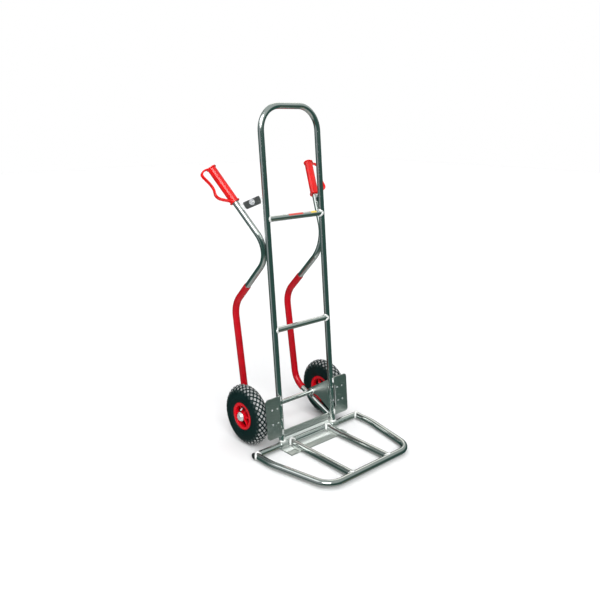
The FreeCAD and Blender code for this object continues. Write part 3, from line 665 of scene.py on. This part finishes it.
def tyre_piece(side):
    """Carcass with moulded sidewall rings, and a tread of staggered diamond blocks."""
    centre = centre_of("tyre_" + side)
    flange_r = size_of("rim_" + side).z / 2
    under_tread = []
    for k in range(CROWN_STEPS + 1):
        depth = TREAD_DEPTH if k > SHOULDER_STEPS else TREAD_DEPTH * 0.35 * k / SHOULDER_STEPS
        under_tread.append(crown(CROWN_REACH * (1 - k / CROWN_STEPS), depth))
    side_wall = [(0.0195, flange_r - 0.0035), (0.0232, flange_r - 0.001), (0.0258, flange_r + 0.0012),
                 (0.0275, flange_r + 0.0030), (0.0286, flange_r + 0.0046), (0.0283, flange_r + 0.0060),
                 (0.0290, flange_r + 0.0080), (0.0298, flange_r + 0.0125), (0.0301, flange_r + 0.0175),
                 (0.0301, flange_r + 0.0215), (0.0295, flange_r + 0.0230), (0.0298, flange_r + 0.0245),
                 (0.0290, flange_r + 0.0290)]
    half = side_wall + [p for p in under_tread if p[1] > side_wall[-1][1] + 0.002]
    inner = [(-0.0170, flange_r - 0.0035), (-0.0225, WHEEL_R - CROWN_RISE), (0.0, WHEEL_R - 0.008),
             (0.0225, WHEEL_R - CROWN_RISE), (0.0170, flange_r - 0.0035)]
    profile = half + [(-x, r) for x, r in reversed(half[:-1])] + inner
    bundle = Bundle()
    bundle.add(*lathe(profile, centre, 1, CARCASS_STEPS, closed=True))
    for row in range(TREAD_ROWS):
        arc = (row - (TREAD_ROWS - 1) / 2) * TREAD_STEP
        for k in range(TREAD_PITCHES):
            turn = 2 * math.pi * (k + 0.5 * (row % 2)) / TREAD_PITCHES
            block, faces = tread_block(centre, arc, turn)
            bundle.add(block, faces[:-BLOCK_TOP_FACES])
            # Block tops take the painted highlight, dimmer on the two outermost rows
            bundle.add(block, faces[-BLOCK_TOP_FACES:], 2 if row in (0, TREAD_ROWS - 1) else 1)
    piece = bundle.piece("tyre_tread_" + side, [RUBBER, TREAD_TOP_HIGHLIGHT, TREAD_EDGE_DIM_HIGHLIGHT], "wheel_" + side,
                         "tyre")
    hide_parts("tyre_" + side)


# ---------------------------------------------------------------- softened mouldings

HUB_CLEAR_R = 0.030    # the hub lies inside this radius
RIM_REACH = 0.0272     # from a rim's middle out to the edge of its flange
RIM_SPOKES = 6


def moulding(name, source, body, material, voxel, rounds, keep, extra=None, reach=None):
    """A CAD node's shape with the soft edges of a moulding, plus any extra shape joined to it.

    It is remeshed at the voxel size, smoothed this many rounds and thinned to the share to keep.
    reach draws in what lies outside the hub to that distance from the middle along X."""
    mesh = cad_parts[source].data.copy()
    mesh.name = name
    if reach is not None:
        middle = centre_of(source)
        for vertex in mesh.vertices:
            off = vertex.co - middle
            if abs(off.x) > reach and math.hypot(off.y, off.z) > HUB_CLEAR_R:
                vertex.co.x = middle.x + math.copysign(reach, off.x)
    if extra is not None:
        points, faces = extra
        blend = bmesh.new()
        blend.from_mesh(mesh)
        made = [blend.verts.new(p) for p in points]
        for face in faces:
            blend.faces.new([made[i] for i in face])
        blend.to_mesh(mesh)
        blend.free()
    mesh.materials.clear()
    mesh.materials.append(material)
    piece = attach(name, mesh, body)
    remesh = piece.modifiers.new("soften", "REMESH")
    remesh.mode = "VOXEL"
    remesh.voxel_size = voxel
    relax = piece.modifiers.new("relax", "SMOOTH")
    relax.factor = 0.5
    relax.iterations = rounds
    thin = piece.modifiers.new("thin", "DECIMATE")
    thin.ratio = keep
    graph = bpy.context.evaluated_depsgraph_get()
    done = bpy.data.meshes.new_from_object(piece.evaluated_get(graph))
    piece.modifiers.clear()
    piece.data = done
    done.polygons.foreach_set("use_smooth", [True] * len(done.polygons))
    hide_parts(source)


BAR_FACES = [(0, 1, 2, 3), (7, 6, 5, 4), (0, 4, 5, 1), (1, 5, 6, 2), (2, 6, 7, 3), (3, 7, 4, 0)]


def rim_ribs(centre):
    """Tapered spokes on both faces of the rim's web."""
    bundle = Bundle()
    for k in range(RIM_SPOKES):
        turn = 2 * math.pi * k / RIM_SPOKES
        radial = Vector((0, math.cos(turn), math.sin(turn)))
        across = Vector((0, -math.sin(turn), math.cos(turn)))
        for face in (-1, 1):
            corners = []
            for reach, inner_r, outer_r in ((0.002, 0.014, 0.045), (0.0215, 0.014, 0.046)):
                for radius, half in ((inner_r, -0.0036), (outer_r, -0.0022), (outer_r, 0.0022),
                                     (inner_r, 0.0036)):
                    lean = reach if radius == inner_r or reach < 0.01 else reach * 0.86
                    corners.append(centre + X_AXIS * (face * lean) + radial * radius + across * half)
            bundle.add(corners, BAR_FACES)
    return bundle.points, bundle.faces


# ---------------------------------------------------------------- small hardware

CAP_DOME = 0.0030    # how far the dome stands out past the CAD cap
LATHE_STEPS = 64


def hub_cap_piece(side, sign):
    """Domed push-on cap with a crimped skirt."""
    low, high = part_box("hub_cap_" + side)
    centre = (low + high) / 2
    base_x = low.x if sign > 0 else high.x
    skirt_r = (high.z - low.z) / 2
    tall = (high.x - low.x) + CAP_DOME
    profile = [(0.0, skirt_r - 0.004), (0.0, skirt_r - 0.0006), (0.0004, skirt_r), (0.0011, skirt_r),
               (0.0016, skirt_r - 0.0007), (0.0017, skirt_r - 0.0018), (0.0022, skirt_r - 0.0027),
               (tall * 0.62, skirt_r - 0.0034), (tall * 0.80, skirt_r - 0.0042),
               (tall * 0.92, skirt_r - 0.0060), (tall * 0.985, skirt_r - 0.0090),
               (tall, skirt_r * 0.30), (tall * 0.985, skirt_r * 0.22), (tall * 0.93, skirt_r * 0.16),
               (tall * 0.92, 0.0002)]
    start = Vector((base_x, centre.y, centre.z))
    points, faces = lathe(profile, start, sign, LATHE_STEPS)
    faces.append(tuple(range(len(points) - LATHE_STEPS, len(points))))
    piece = new_piece("hub_cap_dome_" + side, points, faces, [BRIGHT], "frame")
    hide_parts("hub_cap_" + side)


VALVE_STEPS = 28


def turned_on(axis_start, axis, profile):
    """Points and faces of (along, radius) pairs turned about any line."""
    u, v = square_pair(axis)
    points = []
    for along, radius in profile:
        for k in range(VALVE_STEPS):
            turn = 2 * math.pi * k / VALVE_STEPS
            spoke = u * math.cos(turn) + v * math.sin(turn)
            points.append(axis_start + axis * along + spoke * radius)
    faces = closed_grid(len(profile), VALVE_STEPS)
    return points, faces + [tuple(range(len(points) - VALVE_STEPS, len(points)))]


def valve_piece(side, sign):
    """Stem with a ribbed rubber root, rings for the neck's thread and a plain metal dust cap."""
    low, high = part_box("valve_" + side)
    foot = Vector((low.x if sign > 0 else high.x, AXLE.y, high.z - 0.0016))
    tip = Vector((high.x if sign > 0 else low.x, AXLE.y, low.z + 0.0024))
    axis = (tip - foot).normalized()
    length = (tip - foot).length - 0.0026
    foot = foot + axis * 0.0016
    neck = length * 0.68
    root = [(0.0, 0.0026), (length * 0.30, 0.0030), (length * 0.34, 0.0038), (length * 0.44, 0.0040),
            (length * 0.47, 0.0036), (length * 0.50, 0.0039), (neck - 0.002, 0.0036), (neck, 0.0029)]
    thread = [(neck + 0.0003 * k, 0.0026 - 0.00025 * (k % 2)) for k in range(6)]
    cap_start = neck + 0.0018
    cap = [(cap_start, 0.0027), (cap_start + 0.0004, 0.0034), (length - 0.0022, 0.0034),
           (length - 0.0008, 0.0030), (length, 0.0016)]
    bundle = Bundle()
    bundle.add(*turned_on(foot, axis, root))
    bundle.add(*turned_on(foot, axis, thread), 1)
    bundle.add(*turned_on(foot, axis, cap), 1)
    piece = bundle.piece("valve_stem_" + side, [VALVE_RUBBER, BRIGHT], "wheel_" + side, "valve")
    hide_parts("valve_" + side)


# ---------------------------------------------------------------- welds on the frame

# Bead radii
RUNG_BEAD = 0.0046
FOOT_BEAD = 0.0042
AXLE_BEAD = 0.0020
GUSSET_BEAD = 0.0022
TAB_BEAD = 0.0050
GUARD_BEAD = 0.0018
SLAT_BEAD = 0.0046
FRONT_BEAD = 0.0042
COLLAR_STEPS = 48

# How far the beads keep from the hinge bar inside its bearings and from the toe plate, and how
# far above the hinge's middle line they may reach
BAR_GAP = 0.0010
PLATE_GAP = 0.0006
HINGE_RISE = 0.0152


def upright_line(sign, heights, shift):
    """Points at these heights of an upright, each shifted from its middle line."""
    return [on_upright(sign, z) + shift for z in heights]


def weld_rungs(bundle, sign):
    for rung in (UPPER, MIDDLE):
        start = Vector((0.0, rung.y, rung.z))
        ring = saddle(start, X_AXIS * sign, RUNG_R, on_upright(sign, rung.z), UP_LINE, HOOP_R)
        bundle.add(*bead(*ring, RUNG_BEAD))


def weld_foot(bundle, sign):
    """The bead round an upright's foot, kept out of the hinge bar inside the bearing."""
    above = on_upright(sign, 0.2)
    ring = saddle(above, -UP_LINE, HOOP_R, HINGE_LINE, X_AXIS, BEARING_R)
    points, faces = bead(*ring, FOOT_BEAD)
    bundle.add(clear_of_bar(points, HINGE_R + BAR_GAP), faces)


def weld_gusset(bundle, sign):
    """A collar where the axle goes through the gusset, and a line up the upright, on both faces."""
    for face_x, lean in ((GUSSET_LOW.x, -1), (GUSSET_HIGH.x, 1)):
        hub = Vector((sign * face_x, AXLE.y, AXLE.z))
        circle, normals = [], []
        for k in range(COLLAR_STEPS):
            turn = 2 * math.pi * k / COLLAR_STEPS
            radial = Vector((0, math.cos(turn), math.sin(turn)))
            circle.append(hub + radial * AXLE_R)
            normals.append((radial + X_AXIS * (sign * lean)).normalized())
        bundle.add(*bead(circle, normals, AXLE_BEAD))
        ends = upright_line(sign, (GUSSET_LOW.z + 0.012, GUSSET_HIGH.z - 0.004),
                            Y_AXIS * (HOOP_R - 0.0004))
        line = [Vector((sign * face_x, end.y, end.z)) for end in ends]
        out = (Y_AXIS + X_AXIS * (sign * lean)).normalized()
        bundle.add(*bead(line, [out, out], GUSSET_BEAD, closed=False))


def weld_guard(bundle, sign):
    """Short fat beads on the guard's two tabs, and a thin one down its edge between them."""
    front = [-Y_AXIS, -Y_AXIS]
    for heights in ((GUARD_HIGH.z - 0.003, GUARD_HIGH.z - 0.023),
                    (GUARD_LOW.z + 0.024, GUARD_LOW.z + 0.003)):
        line = upright_line(sign, heights, Vector((sign * 0.004, -HOOP_R + 0.0006, 0.0)))
        bundle.add(*bead(line, front, TAB_BEAD, closed=False))
    line = upright_line(sign, (GUARD_HIGH.z - 0.020, GUARD_LOW.z + 0.020),
                        Vector((sign * 0.0136, -HOOP_R + 0.0004, 0.0)))
    bundle.add(*bead(line, front, GUARD_BEAD, closed=False))


def frame_welds():
    """Every bead on the frame body, as one piece."""
    bundle = Bundle()
    for _, sign in SIDES:
        weld_rungs(bundle, sign)
        weld_foot(bundle, sign)
        weld_gusset(bundle, sign)
        weld_guard(bundle, sign)
    bundle.piece("welds_frame", [WELD], "frame", "tube")


def toe_welds():
    """Beads at both ends of the slats and where the toe hoop meets the hinge bar.

    A bead at a slat's rear end stays above the toe plate, and low enough on the slat to pass in
    front of the toe profile's leg when the toe frame is folded up."""
    bundle = Bundle()
    front = Vector((0.0, FRONT_Y, SLAT.z))
    lowest = PLATE_TOP + PLATE_GAP
    highest = HINGE.z + HINGE_RISE
    for _, sign in SIDES:
        start = Vector((sign * SLAT.x, SLAT.y, SLAT.z))
        ring, faces = bead(*saddle(start, Y_AXIS, SLAT_R, HINGE_LINE, X_AXIS, HINGE_R), SLAT_BEAD)
        bundle.add([(p.x, p.y, min(max(p.z, lowest), highest)) for p in ring], faces)
        bundle.add(*bead(*saddle(start, -Y_AXIS, SLAT_R, front, X_AXIS, SLAT_R), FRONT_BEAD))
        side = Vector((sign * SIDE_X, HINGE.y - 0.06, HINGE.z))
        bundle.add(*bead(*saddle(side, Y_AXIS, SLAT_R, HINGE_LINE, X_AXIS, HINGE_R), SLAT_BEAD))
    bundle.piece("welds_toe", [WELD], "toe_frame", "tube")


# ---------------------------------------------------------------- toe profile

# The leg's cross-section in millimetres: (back from the frame's foot, height)
LEG_OUTLINE = (
    (19.0, 0.2), (19.0, 61.0), (19.7, 62.2), (19.7, 64.0), (18.5, 65.5), (17.0, 65.8), (15.4, 65.4),
    (14.3, 64.0), (14.3, 62.2), (15.3, 60.6), (16.1, 59.0), (16.4, 56.5), (16.1, 53.8), (15.2, 51.6),
    (13.9, 51.0), (13.5, 50.0), (13.9, 49.0), (15.2, 48.4), (16.1, 46.6), (16.3, 45.4), (16.1, 44.2),
    (15.2, 42.6), (13.9, 42.0), (13.5, 41.0), (13.9, 40.0), (15.2, 39.4), (16.1, 37.8), (16.3, 36.5),
    (16.2, 35.2), (16.1, 34.0), (15.8, 32.8), (15.2, 31.4), (14.4, 29.6), (13.7, 27.6), (13.2, 25.2),
    (13.0, 22.0), (13.0, 8.0), (12.2, 4.6), (10.4, 3.1), (9.6, 2.9), (9.4, 0.2))
LEG_HALF = 0.127    # in metres, and the sizes below in millimetres
PLATE_END = 19.0
PLATE_T = 3.0
RIB_STEP = 6.0
RIBS = 8
FIRST_RIB = 3.6           # from the plate's front edge back to the first rib's middle
BROAD_RIB = (2.4, 1.9)    # half its width, and its height
FINE_RIB = (1.1, 0.9)
STRIP_FROM = 32.0         # from the plate's front edge back to where its top is painted near white: a painted highlight


def x_prism(outline, start, end):
    """Points and faces of a (y, z) outline in millimetres drawn out along X."""
    count = len(outline)
    points = [(x, y * MM, z * MM) for x in (start, end) for y, z in outline]
    sides = [(k, (k + 1) % count, count + (k + 1) % count, count + k) for k in range(count)]
    return points, sides + [tuple(reversed(range(count))), tuple(range(count, 2 * count))]


def toe_profile_piece():
    """The extrusion: fluted leg, smooth cove, and a plate with broad and fine ribs on its front.

    The cove and the back of the plate take a near-white, part-matt finish: a painted highlight."""
    low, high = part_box("toe_profile")
    front = low.y / MM
    seat = size_of("slat_shoe_right").x / 2 + 0.001
    bundle = Bundle()
    corners = [(front, 0.0), (PLATE_END, 0.0), (PLATE_END, PLATE_T), (front, PLATE_T)]
    plate = rounded(corners, 0.7, 3)
    before_last_corner = 3 * len(plate) // 4
    plate.insert(before_last_corner, (front + STRIP_FROM, PLATE_T))
    bundle.add(*x_prism(plate, low.x, high.x))
    bundle.add(*x_prism(LEG_OUTLINE, -LEG_HALF, LEG_HALF))
    spans = ((low.x, -SLAT.x - seat), (-SLAT.x + seat, SLAT.x - seat), (SLAT.x + seat, high.x))
    for index in range(RIBS):
        middle = front + FIRST_RIB + index * RIB_STEP
        reach, rise = BROAD_RIB if index % 3 == 0 else FINE_RIB
        rib = [(middle + reach * math.cos(math.pi * k / 10), 2.95 + rise * math.sin(math.pi * k / 10))
               for k in range(11)]
        for start, end in spans:
            bundle.add(*x_prism(rib + [(middle - reach, 2.6), (middle + reach, 2.6)], start, end))
    piece = bundle.piece("toe_extrusion", [PROFILE, PAINTED_HIGHLIGHT], "frame", "profile")
    for face in piece.data.polygons:
        spot = face.center
        # The cove and the strip behind it take the painted highlight
        cove = 0.008 < spot.z < 0.0325 and face.normal.y < -0.2
        strip = 0.0028 < spot.z < 0.006 and face.normal.z > 0.5 and spot.y > low.y + 0.030
        if cove or strip:
            face.material_index = 1
    piece.data.set_sharp_from_angle(angle=math.radians(42))
    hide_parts("toe_profile")


# ---------------------------------------------------------------- stage

# (name, heading, height, angle across it, strength)
SUNS = (("key", 240.0, 38.0, 40.0, 2.3), ("top", 100.0, 80.0, 70.0, 1.3))


def soft_sun(name, heading, height, angle, strength):
    """A broad even light that is left out of reflections, which see only the world's softboxes."""
    data = bpy.data.lights.new(name, "SUN")
    data.angle = math.radians(angle)
    data.energy = strength
    light = bpy.data.objects.new(name, data)
    light.rotation_euler = (0.0, math.radians(90.0 - height), math.radians(heading))
    light.visible_glossy = False
    bpy.context.scene.collection.objects.link(light)


def floor_material():
    s = Shade("studio_floor")
    tone = s.blend(s.noise(1.3, 3.0), (0.90, 0.905, 0.91, 1), (0.93, 0.93, 0.93, 1))
    s.set(Base_Color=tone, Roughness=0.75, Specular_IOR_Level=0.15)
    return s.mat


# What glossy surfaces see: (heading from +X towards +Y, height, half-width, softness) in degrees,
# then the colour. A later one covers an earlier one where they overlap.
SOFTBOXES = (
    (0.0, -90.0, 30.0, 22.0, (0.62, 0.63, 0.60, 1)),         # the pale floor
    (175.0, 6.0, 21.0, 15.0, (0.46, 0.49, 0.50, 1)),         # a dim screen on the left
    (50.0, -18.0, 19.0, 12.0, (0.006, 0.018, 0.016, 1)),     # a dark flag low behind
    (44.0, 40.0, 9.0, 9.0, (2.3, 2.2, 2.05, 1)),             # a box behind, on the right
    (219.0, 38.0, 17.0, 5.0, (9.0, 9.0, 8.8, 1)),            # the main box, front left
    (112.0, 36.0, 15.0, 10.0, (0.12, 0.16, 0.155, 1)),       # a dim flag high behind
    (158.0, 42.0, 9.0, 9.0, (2.2, 2.25, 2.25, 1)),           # a box on the left
    (313.0, -33.0, 3.0, 5.0, (0.45, 0.36, 0.20, 1)),         # a faint warm glint from below
)
ROOM_LOW = (0.050, 0.118, 0.100, 1)
ROOM_HIGH = (0.62, 0.68, 0.65, 1)
MATT_FILL = (0.32, 0.325, 0.33, 1)
BACKDROP = (1.0, 1.0, 1.0, 1)
FLOOR_REACH = 14.0
FLOOR_DROP = 0.0005    # keeps the floor just under the tyres and the toe plate


def make_stage():
    mesh = bpy.data.meshes.new("studio_floor")
    corners = [(x * FLOOR_REACH, y * FLOOR_REACH, 0) for x, y in ((-1, -1), (1, -1), (1, 1), (-1, 1))]
    mesh.from_pydata(corners, [], [(0, 1, 2, 3)])
    mesh.materials.append(floor_material())
    floor = bpy.data.objects.new("studio_floor", mesh)
    floor.location.z = -FLOOR_DROP
    floor.visible_glossy = False
    bpy.context.scene.collection.objects.link(floor)


def make_world():
    """White for the camera, an even fill for matt surfaces, and softboxes in a room for glossy ones."""
    world = bpy.data.worlds.new("studio")
    bpy.context.scene.world = world
    world.use_nodes = True
    tree = world.node_tree
    links = tree.links

    def put(kind, **settings):
        node = tree.nodes.new(kind)
        for key, value in settings.items():
            setattr(node, key, value)
        return node

    def mixed(factor, a, b):
        node = put("ShaderNodeMix", data_type="RGBA")
        for index, value in ((0, factor), (6, a), (7, b)):
            if isinstance(value, bpy.types.NodeSocket):
                links.new(value, node.inputs[index])
            else:
                node.inputs[index].default_value = value
        return node.outputs[2]

    ray = put("ShaderNodeTexCoord").outputs["Generated"]
    apart = put("ShaderNodeSeparateXYZ")
    links.new(ray, apart.inputs[0])
    rise = put("ShaderNodeMapRange", interpolation_type="SMOOTHSTEP")
    links.new(apart.outputs[2], rise.inputs[0])
    rise.inputs[1].default_value = 0.06
    rise.inputs[2].default_value = 0.50
    room = mixed(rise.outputs[0], ROOM_LOW, ROOM_HIGH)
    for heading, height, narrow, soft, glow in SOFTBOXES:
        turn, tilt = math.radians(heading), math.radians(height)
        toward = Vector((math.cos(turn) * math.cos(tilt), math.sin(turn) * math.cos(tilt),
                         math.sin(tilt)))
        lobe = put("ShaderNodeVectorMath", operation="DOT_PRODUCT")
        links.new(ray, lobe.inputs[0])
        lobe.inputs[1].default_value = toward
        span = put("ShaderNodeMapRange", interpolation_type="SMOOTHSTEP")
        links.new(lobe.outputs["Value"], span.inputs[0])
        span.inputs[1].default_value = math.cos(math.radians(narrow + soft))
        span.inputs[2].default_value = math.cos(math.radians(narrow))
        room = mixed(span.outputs[0], room, glow)
    seen = put("ShaderNodeLightPath")
    fill = mixed(seen.outputs["Is Glossy Ray"], MATT_FILL, room)
    final = mixed(seen.outputs["Is Camera Ray"], fill, BACKDROP)
    links.new(final, tree.nodes["Background"].inputs[0])


# The camera's place, its turns in degrees, and its lens and sensor in millimetres
CAMERA_PLACE = (-1.6403, -1.7875, 1.2436)
CAMERA_HEADING, CAMERA_PITCH, CAMERA_ROLL = -41.709, -15.376, -0.076
CAMERA_LENS = 39.6
CAMERA_SENSOR = 36.0


def make_camera():
    data = bpy.data.cameras.new("view")
    data.sensor_width = CAMERA_SENSOR
    data.lens = CAMERA_LENS
    camera = bpy.data.objects.new("view", data)
    turn = (Matrix.Rotation(math.radians(CAMERA_HEADING), 4, "Z")
            @ Matrix.Rotation(math.pi / 2 + math.radians(CAMERA_PITCH), 4, "X")
            @ Matrix.Rotation(-math.radians(CAMERA_ROLL), 4, "Z"))
    camera.matrix_world = Matrix.Translation(CAMERA_PLACE) @ turn
    bpy.context.scene.collection.objects.link(camera)
    bpy.context.scene.camera = camera


# ---------------------------------------------------------------- the whole model

paint_frame()
soften_plates()
for side_name, side_sign in SIDES:
    tyre_piece(side_name)
    hub_cap_piece(side_name, side_sign)
    valve_piece(side_name, side_sign)
    moulding("grip_moulding_" + side_name, "grip_" + side_name, "frame", GRIP_RED,
             voxel=0.00065, rounds=10, keep=0.3)
    moulding("rim_moulding_" + side_name, "rim_" + side_name, "wheel_" + side_name,
             RIM_RED, voxel=0.0009, rounds=3, keep=0.35,
             extra=rim_ribs(centre_of("rim_" + side_name)), reach=RIM_REACH)
frame_welds()
toe_welds()
toe_profile_piece()
make_stage()
make_world()
make_camera()
for sun in SUNS:
    soft_sun(*sun)
bpy.context.scene.view_settings.view_transform = "Standard"
